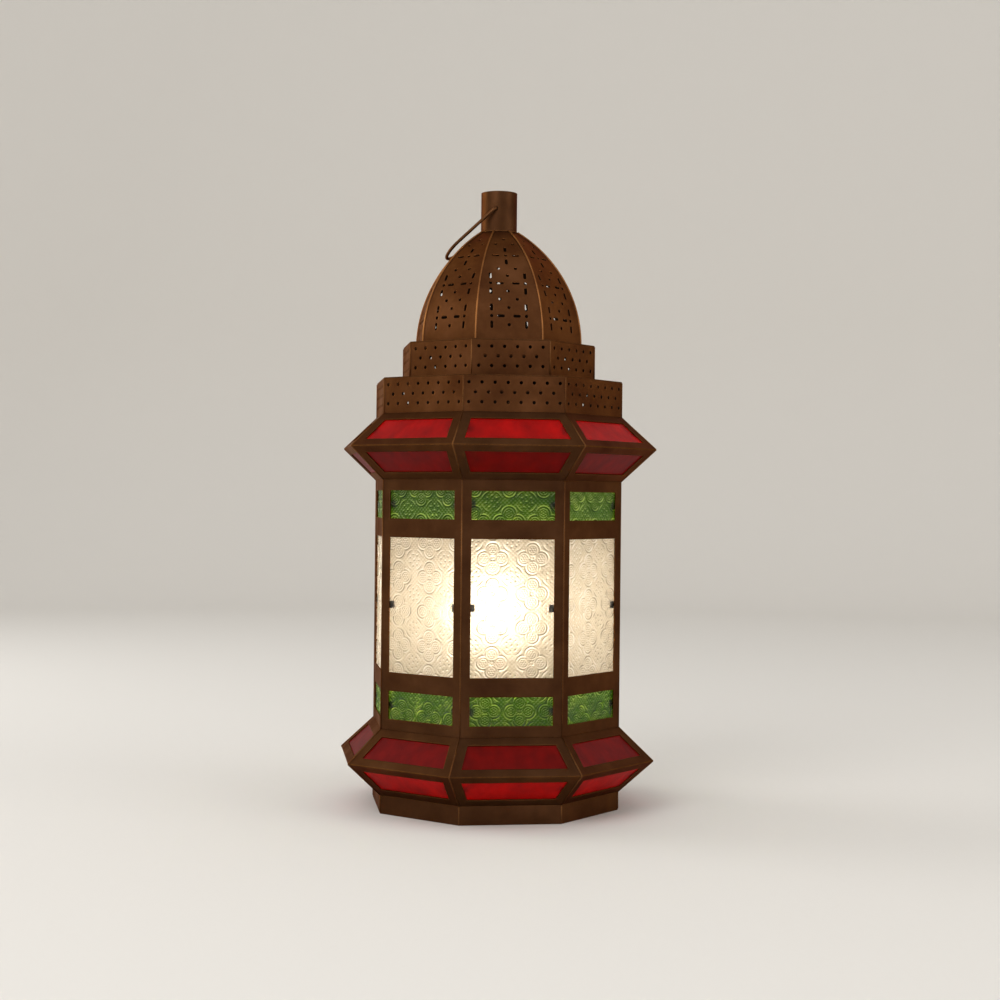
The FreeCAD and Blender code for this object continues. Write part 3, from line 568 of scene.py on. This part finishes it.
def pressed_height(across, up):
    """Height of the rolled pattern, from 0 in the ground to 1 on the ribs."""
    rising = np.sin(math.pi * (across + up) / HAMMER_PITCH)
    falling = np.sin(math.pi * (across - up) / HAMMER_PITCH)
    height = HAMMER_HEIGHT * (rising * falling) ** 2
    x, y = fold(across, PITCH_ACROSS, 0), fold(up, PITCH_UP, 0)
    edge = np.minimum.reduce([np.hypot(x - LOBE_OFFSET * a, y - LOBE_OFFSET * b) - LOBE_RADIUS
                              for a, b in QUARTERS])
    height = np.maximum(height, rib(edge, RIB))
    height = np.maximum(height, INNER_HEIGHT * rib(edge + INNER_LINE, INNER_RIB))
    height = np.maximum(height, ROSETTE_HEIGHT * flower(x, y, ROSETTE_RING, ROSETTE_DOTS, SMALL_DOT))
    for a, b in QUARTERS:
        lobe = flower(x - LOBE_OFFSET * a, y - LOBE_OFFSET * b, LOBE_RING, LOBE_DOTS, SMALL_DOT)
        height = np.maximum(height, LOBE_HEIGHT * lobe)
    x, y = fold(across, PITCH_ACROSS, PITCH_ACROSS / 2), fold(up, PITCH_UP, PITCH_UP / 2)
    height = np.maximum(height, flower(x, y, FLOWER_RING, FLOWER_DOTS, DOT))
    leaves = np.clip(2 * np.abs(np.sin(2 * np.arctan2(y, x))) - LEAF_GAP, 0, 1)
    return np.maximum(height, LEAF_HEIGHT * leaves * rib(np.hypot(x, y) - LEAF_RADIUS, RIB))


def tilt_to_flame(across, up, away_across, away_up):
    """How far the glass falls away from the flame's side, for the painted light: 1 painted highlight, 0
    painted shade, and 0.5 flat.
    """
    rise_across = pressed_height(across + SLOPE_STEP, up) - pressed_height(across - SLOPE_STEP, up)
    rise_up = pressed_height(across, up + SLOPE_STEP) - pressed_height(across, up - SLOPE_STEP)
    outwards = (rise_across * away_across + rise_up * away_up) / np.hypot(away_across, away_up)
    return np.clip(FLAT_TILT - 0.5 * outwards * RELIEF / (2 * SLOPE_STEP), 0, 1)


print(f"medallions repeat every {PITCH_ACROSS / MM:.1f} by {PITCH_UP / MM:.1f} mm")

# %% [markdown]
# ## Pressed panes
# A pane starts as a grid fine enough for the ribs. Its rim is extruded backwards and closed by one
# flat face, which gives the sheet its thickness, and the front is then lowered wherever the pattern
# isn't, so that the ribs stay level with the flat solid that the pane stands for. Last its mesh is
# stood upright in its window.

# %% Make one pane and place it on a side
GRID_STEP = 0.5 * MM
FLAME_OVER_WICK = 5 * MM
FLAME_HEIGHT = heights("wick")[1] + FLAME_OVER_WICK
# A hair's breadth, so that no point of the grid lies exactly in front of the flame.
OFF_CENTRE = GRID_STEP / 4
PANE_SMOOTHING = math.radians(50)


def pressed_pane(span, cut, crosswise):
    """One pane of this span of heights, its front face up, cut from the sheet at this place."""
    width, height = 2 * PANE_HALF_WIDTH, span[1] - span[0]
    bpy.ops.object.select_all(action="DESELECT")
    bpy.ops.mesh.primitive_grid_add(x_subdivisions=round(width / GRID_STEP),
                                    y_subdivisions=round(height / GRID_STEP), size=1)
    pane = bpy.context.object
    bpy.ops.object.mode_set(mode="EDIT")
    bpy.ops.transform.resize(value=(width, height, 1))
    bpy.ops.mesh.region_to_loop()
    bpy.ops.mesh.extrude_region_move(TRANSFORM_OT_translate={"value": (0, 0, -GLASS)})
    bpy.ops.mesh.edge_face_add()
    bpy.ops.object.mode_set(mode="OBJECT")
    points = np.empty(3 * len(pane.data.vertices))
    pane.data.vertices.foreach_get("co", points)
    points = points.reshape(-1, 3)
    sheet = points[:, :2] + cut
    away = points[:, :2] + (OFF_CENTRE, sum(span) / 2 - FLAME_HEIGHT)
    if crosswise:
        sheet, away = sheet[:, ::-1], away[:, ::-1]
    front = points[:, 2] > -GLASS / 2
    points[front, 2] = RELIEF * (pressed_height(*sheet.T)[front] - 1)
    pane.data.vertices.foreach_set("co", points.ravel())
    # The tilt is kept for the glass colour, which paints highlight and shade from it.
    kept = pane.data.attributes.new("tilt", "FLOAT", "POINT")
    kept.data.foreach_set("value", np.where(front, tilt_to_flame(*sheet.T, *away.T), FLAT_TILT))
    bpy.ops.object.shade_smooth_by_angle(angle=PANE_SMOOTHING)
    return pane


def stand_on_side(pane, side, span):
    """Move a pane's mesh into its window on one side of the body."""
    upright = Matrix.Rotation(math.pi / 2, 4, "X")
    window = Matrix.Translation((0, -PANE_APOTHEM, sum(span) / 2))
    pane.data.transform(Matrix.Rotation(TURN * side, 4, "Z") @ window @ upright)


print("middle of the flame at", round(FLAME_HEIGHT / MM, 1), "mm")

# %% [markdown]
# Every new piece is named and dressed, hung from an empty for the body that carries it, and the
# solids it stands for are hidden. Panes whose solids share a node are joined first, so that piece and
# node match.

# %% Helpers for new pieces
def finish_piece(piece, name, body, material, nodes=()):
    """Name and dress a new piece, hang it from its body's empty and hide the solids it stands for."""
    piece.name = name
    piece.data.name = name
    dress(piece, material)
    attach(piece, body)
    if nodes:
        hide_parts(*nodes)


def join(pieces):
    """Join several new pieces into the first."""
    bpy.ops.object.select_all(action="DESELECT")
    for piece in pieces:
        piece.select_set(True)
    bpy.context.view_layer.objects.active = pieces[0]
    bpy.ops.object.join()
    return pieces[0]


# %% [markdown]
# Each pane is cut from another place of the sheet, so its medallions sit a little differently. The
# narrow green panes were cut crosswise from theirs, which lays the pattern on its side. The back side
# is the door, so its three panes are pieces of their own that ride on it.

# %% Glaze the eight sides
CUT_STEP = np.array((18.0, 9.4)) * MM
CLEAR_CUT = np.array((14.75, -11.1)) * MM
GREEN_ROWS = {
    "lower": (LOWER_GREEN_SPAN, np.array((-6.2, 0.0)) * MM),
    "upper": (UPPER_GREEN_SPAN, np.array((3.0, 12.0)) * MM),
}


def glaze(span, side, start, crosswise=False):
    """A pane for one window of one side."""
    pane = pressed_pane(span, start + side * CUT_STEP, crosswise)
    stand_on_side(pane, side, span)
    return pane


for side, face in enumerate(FACE_NAMES):
    on_door = side == DOOR_FACE
    solid = "door_clear_pane" if on_door else "clear_pane_" + face
    finish_piece(glaze(CLEAR_SPAN, side, CLEAR_CUT), "pressed_" + solid, "door" if on_door else "root",
                 clear_glass, [solid])
for where, (span, start) in GREEN_ROWS.items():
    fixed = join([glaze(span, side, start, True) for side in range(SIDES) if side != DOOR_FACE])
    finish_piece(fixed, f"pressed_{where}_green_panes", "root", green_glass,
                 [f"{where}_green_panes"])
    hung = glaze(span, DOOR_FACE, start, True)
    finish_piece(hung, f"pressed_door_{where}_green_pane", "door", green_glass,
                 [f"door_{where}_green_pane"])

# %% [markdown]
# ## Soldered seams
# The gores of the dome and the folded panels meet at the octagon's corners, where solder stands as a
# thin raised bead, rubbed to copper. Along the dome a small ring is spun about the centre of the
# gore's arc. A corner lies further out than the middle of a side, so the spun bead is then stretched
# outwards from the axis. One bead is modelled over the X axis, and copies of it are turned to the
# corners.

# %% Solder on the dome
DOME_BEAD = 0.65 * MM
BEAD_POINTS = 10
BEAD_SMOOTHING = math.radians(60)
SPIN_STEPS = 28
TINY = 0.001 * MM
# The corner between the front face and the next one to the right, from which corners are counted.
FIRST_CORNER = -1.5 * TURN

dome_low, dome_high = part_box("dome_gore_front")
NECK_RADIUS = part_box("neck_tube")[1].x
dome_foot = -dome_low.y
dome_rise = dome_high.z - dome_low.z
dome_run = dome_foot - NECK_RADIUS
arc_radius = (dome_run ** 2 + dome_rise ** 2) / (2 * dome_run)
arc_angle = math.asin(dome_rise / arc_radius)


def turned_copies(model, corners):
    """Copies of a bead, each with its own mesh, at these corners in place of the one over X."""
    copies = []
    for corner in corners:
        copy = model.copy()
        copy.data = model.data.copy()
        bpy.context.collection.objects.link(copy)
        copy.data.transform(Matrix.Rotation(FIRST_CORNER + TURN * corner, 4, "Z"))
        copies.append(copy)
    # With its mesh the model goes too.
    bpy.data.meshes.remove(model.data)
    return copies


bpy.ops.object.select_all(action="DESELECT")
bpy.ops.mesh.primitive_circle_add(vertices=BEAD_POINTS, radius=DOME_BEAD, fill_type="NGON",
                                  location=(dome_foot, 0, dome_low.z))
bead = bpy.context.object
bpy.ops.object.transform_apply(location=True)
bpy.ops.object.mode_set(mode="EDIT")
bpy.ops.mesh.spin(steps=SPIN_STEPS, angle=arc_angle, center=(dome_foot - arc_radius, 0, dome_low.z),
                  axis=(0, 1, 0))
bpy.ops.mesh.select_all(action="SELECT")
bpy.ops.mesh.remove_doubles(threshold=TINY)
bpy.ops.mesh.normals_make_consistent(inside=False)
bpy.ops.transform.resize(value=(CORNER, 1, 1), center_override=(0, 0, 0))
bpy.ops.object.mode_set(mode="OBJECT")
bpy.ops.object.shade_smooth_by_angle(angle=BEAD_SMOOTHING)
beads = join(turned_copies(bead, range(SIDES)))
finish_piece(beads, "dome_seam_beads", "root", dome_solder)
print("dome bead reaches", [round(c / MM, 1) for c in beads.bound_box[6]])

# %% [markdown]
# Where the gores end at the neck, solder runs round the tube. It was wiped on by hand, so the ring is
# not quite even: its vertices are pushed a little up and down along an uneven wave.

# %% Solder round the neck
NECK_BEAD = 0.7 * MM
NECK_POINTS = 72
NECK_WAVES = 11
WAVE_HEIGHT = 0.3 * NECK_BEAD

bpy.ops.object.select_all(action="DESELECT")
bpy.ops.mesh.primitive_torus_add(major_segments=NECK_POINTS, minor_segments=BEAD_POINTS,
                                 major_radius=NECK_RADIUS, minor_radius=NECK_BEAD,
                                 location=(0, 0, dome_high.z))
ring = bpy.context.object
bpy.ops.object.transform_apply(location=True)
for vertex in ring.data.vertices:
    angle = math.atan2(vertex.co.y, vertex.co.x)
    vertex.co.z += WAVE_HEIGHT * math.sin(NECK_WAVES * angle) * math.sin(2 * angle)
bpy.ops.object.shade_smooth()
finish_piece(ring, "neck_seam_bead", "root", fold_solder)
print("neck bead radius", round(NECK_RADIUS / MM, 1), "mm")

# %% [markdown]
# Elsewhere the corners are straight, and a bead is a thin rod whose ends are inset and pulled out
# to round them. To reach those ends, a helper selects the parts of a mesh that pass a test, here the
# faces that lie level. The two corners beside the door stay free, because the door opens there.

# %% Solder on the straight corners
SEAM_BEAD = 0.5 * MM
SEAM_STOP = 1.0 * MM
# A face lies level where at least this share of its normal is upright.
LEVEL = 0.9
DOOR_CORNERS = (DOOR_FACE - 1, DOOR_FACE)
UPPER_TIER_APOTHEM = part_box("upper_tier_panels")[1].x

skirt_top, lower_ridge = heights("lower_collar_bottom_frames")
body_foot = heights("lower_collar_top_frames")[1]
body_top, upper_ridge = heights("upper_collar_bottom_frames")
tier_foot, tier_top = heights("lower_tier_panels")
upper_tier_foot, upper_tier_top = heights("upper_tier_panels")
# Each line of a seam runs between two places, given as apothem and height.
CORNER_LINES = {
    "skirt_seam_beads": [((BODY_APOTHEM, SEAM_STOP), (BODY_APOTHEM, skirt_top))],
    "lower_collar_seam_beads": [((BODY_APOTHEM, skirt_top), (RIDGE_APOTHEM, lower_ridge)),
                                ((RIDGE_APOTHEM, lower_ridge), (BODY_APOTHEM, body_foot))],
    "body_seam_beads": [((BODY_APOTHEM, body_foot), (BODY_APOTHEM, body_top))],
    "upper_collar_seam_beads": [((BODY_APOTHEM, body_top), (RIDGE_APOTHEM, upper_ridge)),
                                ((RIDGE_APOTHEM, upper_ridge), (BODY_APOTHEM, tier_foot))],
    "tier_seam_beads": [((BODY_APOTHEM, tier_foot), (BODY_APOTHEM, tier_top)),
                        ((UPPER_TIER_APOTHEM, upper_tier_foot), (UPPER_TIER_APOTHEM, upper_tier_top))],
}


def select_parts(piece, kind, chosen):
    """Select a mesh's vertices, edges or faces by a test, and stay in edit mode."""
    bpy.ops.object.mode_set(mode="EDIT")
    bpy.ops.mesh.select_mode(type=kind)
    bpy.ops.mesh.select_all(action="DESELECT")
    bpy.ops.object.mode_set(mode="OBJECT")
    mesh = piece.data
    for part in {"VERT": mesh.vertices, "EDGE": mesh.edges, "FACE": mesh.polygons}[kind]:
        part.select = chosen(part)
    bpy.ops.object.mode_set(mode="EDIT")


def straight_bead(start, end):
    """A rod of solder over the X axis, between two places given as apothem and height."""
    low, high = [Vector((apothem * CORNER, 0, height)) for apothem, height in (start, end)]
    along = high - low
    bpy.ops.object.select_all(action="DESELECT")
    bpy.ops.mesh.primitive_cylinder_add(vertices=BEAD_POINTS, radius=SEAM_BEAD,
                                        depth=along.length - SEAM_BEAD)
    rod = bpy.context.object
    select_parts(rod, "FACE", lambda face: abs(face.normal.z) > LEVEL)
    bpy.ops.mesh.inset(thickness=SEAM_BEAD / 2, depth=SEAM_BEAD / 2)
    bpy.ops.object.mode_set(mode="OBJECT")
    lean = along.to_track_quat("Z", "Y").to_matrix().to_4x4()
    rod.data.transform(Matrix.Translation((low + high) / 2) @ lean)
    bpy.ops.object.shade_smooth_by_angle(angle=BEAD_SMOOTHING)
    return rod


for name, lines in CORNER_LINES.items():
    corners = [c for c in range(SIDES) if name != "body_seam_beads" or c not in DOOR_CORNERS]
    rods = [rod for start, end in lines for rod in turned_copies(straight_bead(start, end), corners)]
    finish_piece(join(rods), name, "root", fold_solder)
    print(name, "has", len(rods), "rods")

# %% [markdown]
# ## The candle
# A slim white candle of cast paraffin wax stands in its socket. Wax is milky: light goes a little way
# into it and comes out again, which subsurface scattering gives, and it has a soft shine and slight
# clouds in its colour.

# %% Paraffin wax
MILK_SIZE = 8

wax, tree = new_material("paraffin_wax")
place = node(tree, "ShaderNodeTexCoord").outputs["Object"]
milk = node(tree, "ShaderNodeTexNoise", {"Vector": place, "Scale": per_size(MILK_SIZE), "Detail": 4.0})
milky = node(tree, "ShaderNodeValToRGB", {"Fac": milk.outputs["Fac"]},
             stops=((0.35, srgb("#EFE4CC")), (0.7, srgb("#F8F1E2"))))
soft = node(tree, "ShaderNodeBump", {"Height": milk.outputs["Fac"], "Strength": 0.15,
                                     "Distance": 0.4 * MM})
cast = node(tree, "ShaderNodeBsdfPrincipled", {"Base Color": milky.outputs["Color"], "Roughness": 0.42,
                                               "IOR": 1.44, "Subsurface Weight": 0.35,
                                               "Subsurface Radius": (6 * MM, 4 * MM, 2 * MM),
                                               "Subsurface Scale": 1.0,
                                               "Normal": soft.outputs["Normal"]})
node(tree, "ShaderNodeOutputMaterial", {"Surface": cast.outputs["BSDF"]})
print("made", wax.name)

# %% [markdown]
# The candle has burned for a while, and a shallow pool has formed round the wick. The top of a
# cylinder is inset once for the rim, and then step by step downwards to sink the pool.

# %% A candle with a pool
CANDLE_POINTS = 72
RIM = 1.6 * MM
# Each step goes this far in and this far up from the one before.
POOL_STEPS = ((0.7 * MM, -1.4 * MM), (2.0 * MM, -1.0 * MM), (3.5 * MM, -0.4 * MM))

candle_low, candle_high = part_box("candle")
CANDLE_RADIUS = candle_high.x
CANDLE_HEIGHT = candle_high.z - candle_low.z
bpy.ops.object.select_all(action="DESELECT")
bpy.ops.mesh.primitive_cylinder_add(vertices=CANDLE_POINTS, radius=CANDLE_RADIUS, depth=CANDLE_HEIGHT,
                                    location=(0, 0, (candle_low.z + candle_high.z) / 2))
candle = bpy.context.object
bpy.ops.object.transform_apply(location=True)
select_parts(candle, "FACE", lambda face: face.normal.z > LEVEL)
bpy.ops.mesh.inset(thickness=RIM)
for width, rise in POOL_STEPS:
    bpy.ops.mesh.inset(thickness=width, depth=rise)
bpy.ops.object.mode_set(mode="OBJECT")
print("pool depth:", round(-sum(rise for width, rise in POOL_STEPS) / MM, 1), "mm")

# %% [markdown]
# A few runs of wax have come down its side. The long edges of the side are subdivided into rings, and
# the runs are drawn out by pushing those rings outwards along a few uneven lines. Each run fades out
# at its end, just below a thicker drop. A Bevel modifier then rounds the softened rim.

# %% Runs of wax
SIDE_RINGS = 60
# Each run of wax is its angle round the candle in radians, and its length and thickness in millimetres.
WAX_RUNS = ((0.4, 26, 1.0), (1.5, 58, 0.8), (2.4, 15, 1.1),
            (3.5, 42, 0.9), (4.4, 70, 0.8), (5.5, 22, 1.0))
# The width of a run is in radians too, and the sizes of its end are in millimetres.
RUN_WIDTH = 0.2
RUN_FADE = 1.5
DROP_SHARE = 0.5
DROP_ABOVE_END = 3
DROP_LENGTH = 4
RIM_ROUNDING = 0.7 * MM
RIM_SEGMENTS = 3
SHARP = math.radians(60)
ABOVE_SOCKET = 2 * MM
runs_end = heights("candle_socket")[1] + ABOVE_SOCKET


def is_long(edge):
    """Whether an edge runs most of the way up the candle."""
    foot, top = [candle.data.vertices[index].co.z for index in edge.vertices]
    return abs(top - foot) > CANDLE_HEIGHT / 2


def run_push(angle, drop):
    """How far the runs stand out at this angle, this many millimetres below the rim."""
    push = 0.0
    for where, length, thick in WAX_RUNS:
        across = math.exp(-((angle - where) / RUN_WIDTH) ** 2)
        along = 1 / (1 + math.exp((drop - length) / RUN_FADE))
        swelling = DROP_SHARE * math.exp(-((drop - length + DROP_ABOVE_END) / DROP_LENGTH) ** 2)
        push += thick * MM * across * (along + swelling)
    return push


select_parts(candle, "EDGE", is_long)
bpy.ops.mesh.subdivide(number_cuts=SIDE_RINGS)
bpy.ops.object.mode_set(mode="OBJECT")
for vertex in candle.data.vertices:
    radius = math.hypot(vertex.co.x, vertex.co.y)
    if radius > CANDLE_RADIUS - RIM / 2 and vertex.co.z > runs_end:
        angle = math.atan2(vertex.co.y, vertex.co.x) % (2 * math.pi)
        grow = 1 + run_push(angle, (candle_high.z - vertex.co.z) / MM) / radius
        vertex.co.x *= grow
        vertex.co.y *= grow
rounding = candle.modifiers.new("rim_rounding", "BEVEL")
rounding.width = RIM_ROUNDING
rounding.segments = RIM_SEGMENTS
rounding.limit_method = "ANGLE"
rounding.angle_limit = SHARP
bpy.ops.object.modifier_apply(modifier=rounding.name)
bpy.ops.object.shade_smooth_by_angle(angle=SHARP)
finish_piece(candle, "burned_candle", "candle", wax, ["candle"])
print("candle faces:", len(candle.data.polygons))

# %% [markdown]
# The wick is braided cotton, waxed white at the foot and burned black above, with a dull, crumbly
# surface. It bends over as it burns: a small disc is extruded upwards in steps that lean more and
# more, and the last one is shrunk to a blunt tip.

# %% Wick
BRAID_SIZE = 0.7
CHAR_REACH = 3 * MM
WICK_POINTS = 12
WICK_STEPS = 12
WICK_LEAN = 2.2 * MM
WICK_TAPER = 0.55

wick_low, wick_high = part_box("wick")
charred, tree = new_material("charred_cotton")
place = node(tree, "ShaderNodeTexCoord").outputs["Object"]
level = node(tree, "ShaderNodeSeparateXYZ", {"Vector": place})
burned = node(tree, "ShaderNodeMapRange", {"Value": level.outputs["Z"],
                                           "From Min": candle_high.z - CHAR_REACH,
                                           "From Max": candle_high.z + CHAR_REACH})
black = node(tree, "ShaderNodeValToRGB", {"Fac": burned.outputs["Result"]},
             stops=((0.1, srgb("#D9CDB2")), (0.7, srgb("#17120F"))))
braid = node(tree, "ShaderNodeTexNoise", {"Vector": place, "Scale": per_size(BRAID_SIZE), "Detail": 2.0})
crumbs = node(tree, "ShaderNodeBump", {"Height": braid.outputs["Fac"], "Strength": 0.6,
                                       "Distance": 0.3 * MM})
cotton = node(tree, "ShaderNodeBsdfPrincipled", {"Base Color": black.outputs["Color"], "Roughness": 0.9,
                                                 "Normal": crumbs.outputs["Normal"]})
node(tree, "ShaderNodeOutputMaterial", {"Surface": cotton.outputs["BSDF"]})

bpy.ops.object.select_all(action="DESELECT")
bpy.ops.mesh.primitive_circle_add(vertices=WICK_POINTS, radius=wick_high.x, fill_type="NGON",
                                  location=(0, 0, wick_low.z))
wick = bpy.context.object
bpy.ops.object.transform_apply(location=True)
bpy.ops.object.mode_set(mode="EDIT")
bpy.ops.mesh.select_all(action="SELECT")
rise = (wick_high.z - wick_low.z) / WICK_STEPS
for step in range(WICK_STEPS):
    lean = WICK_LEAN * ((step + 1) ** 3 - step ** 3) / WICK_STEPS ** 3
    bpy.ops.mesh.extrude_region_move(TRANSFORM_OT_translate={"value": (lean, 0, rise)})
bpy.ops.transform.resize(value=(WICK_TAPER, WICK_TAPER, 1))
bpy.ops.mesh.select_all(action="SELECT")
bpy.ops.mesh.normals_make_consistent(inside=False)
bpy.ops.object.mode_set(mode="OBJECT")
bpy.ops.object.shade_smooth_by_angle(angle=SHARP)
finish_piece(wick, "burned_wick", "candle", charred, ["wick"])
print("wick top leans", round(WICK_LEAN / MM, 1), "mm")

# %% [markdown]
# ## The flame
# The light that fills the glass comes from a flame over the wick: glowing soot, amber at the foot,
# near white in the heart and yellow at the tip. A sphere is drawn out into a drop by pulling its top
# vertex up with proportional editing, as one pulls a thread out of dough.

# %% Flame
FLAME_RADIUS = 6.5 * MM
FLAME_SEGMENTS = 32
FLAME_RINGS = 24
FLAME_TIP = 24 * MM
FLAME_PULL = 2.2 * FLAME_RADIUS
WICK_INSIDE = 3 * MM
GLOW_BELOW = 4 * MM
GLOW_ABOVE = 36.92 * MM
GLOW_STRENGTH = 6.0

burning, tree = new_material("candle_flame")
place = node(tree, "ShaderNodeTexCoord").outputs["Object"]
level = node(tree, "ShaderNodeSeparateXYZ", {"Vector": place})
height = node(tree, "ShaderNodeMapRange", {"Value": level.outputs["Z"],
                                           "From Min": wick_high.z - GLOW_BELOW,
                                           "From Max": wick_high.z + GLOW_ABOVE})
glow = node(tree, "ShaderNodeValToRGB", {"Fac": height.outputs["Result"]},
            stops=((0.0, srgb("#D97A1E")), (0.35, srgb("#FFF1C9")), (1.0, srgb("#FFC24A"))))
light = node(tree, "ShaderNodeEmission", {"Color": glow.outputs["Color"], "Strength": GLOW_STRENGTH})
node(tree, "ShaderNodeOutputMaterial", {"Surface": light.outputs["Emission"]})

bpy.ops.object.select_all(action="DESELECT")
bpy.ops.mesh.primitive_uv_sphere_add(segments=FLAME_SEGMENTS, ring_count=FLAME_RINGS,
                                     radius=FLAME_RADIUS,
                                     location=(0, 0, wick_high.z + FLAME_RADIUS - WICK_INSIDE))
flame = bpy.context.object
bpy.ops.object.transform_apply(location=True)
flame_top = max(vertex.co.z for vertex in flame.data.vertices)
select_parts(flame, "VERT", lambda vertex: vertex.co.z > flame_top - TINY)
bpy.ops.transform.translate(value=(0, 0, FLAME_TIP), use_proportional_edit=True,
                            proportional_edit_falloff="SHARP", proportional_size=FLAME_PULL)
bpy.ops.object.mode_set(mode="OBJECT")
bpy.ops.object.shade_smooth()
finish_piece(flame, "candle_flame", "candle", burning)
print("flame reaches", round(max(v.co.z for v in flame.data.vertices) / MM, 1), "mm")

# %% [markdown]
# The flame glows by itself, but a small lamp in the middle of it does the lighting, because a lamp's
# light is far cleaner than that of a small glowing mesh. The flame casts no shadow, so it doesn't
# shade its lamp, and the lamp goes wherever the flame does.

# %% The flame's lamp
LAMP_WATTS = 1.75
LAMP_RADIUS = 7 * MM

flame.visible_shadow = False
bpy.ops.object.light_add(type="POINT", location=(0, 0, FLAME_HEIGHT))
flame_lamp = bpy.context.object
flame_lamp.name = "flame_lamp"
flame_lamp.data.energy = LAMP_WATTS
flame_lamp.data.color = srgb("#FFF1DA")[:3]
flame_lamp.data.shadow_soft_size = LAMP_RADIUS
flame_lamp.parent = flame
print("lamp of", LAMP_WATTS, "watts in the flame")
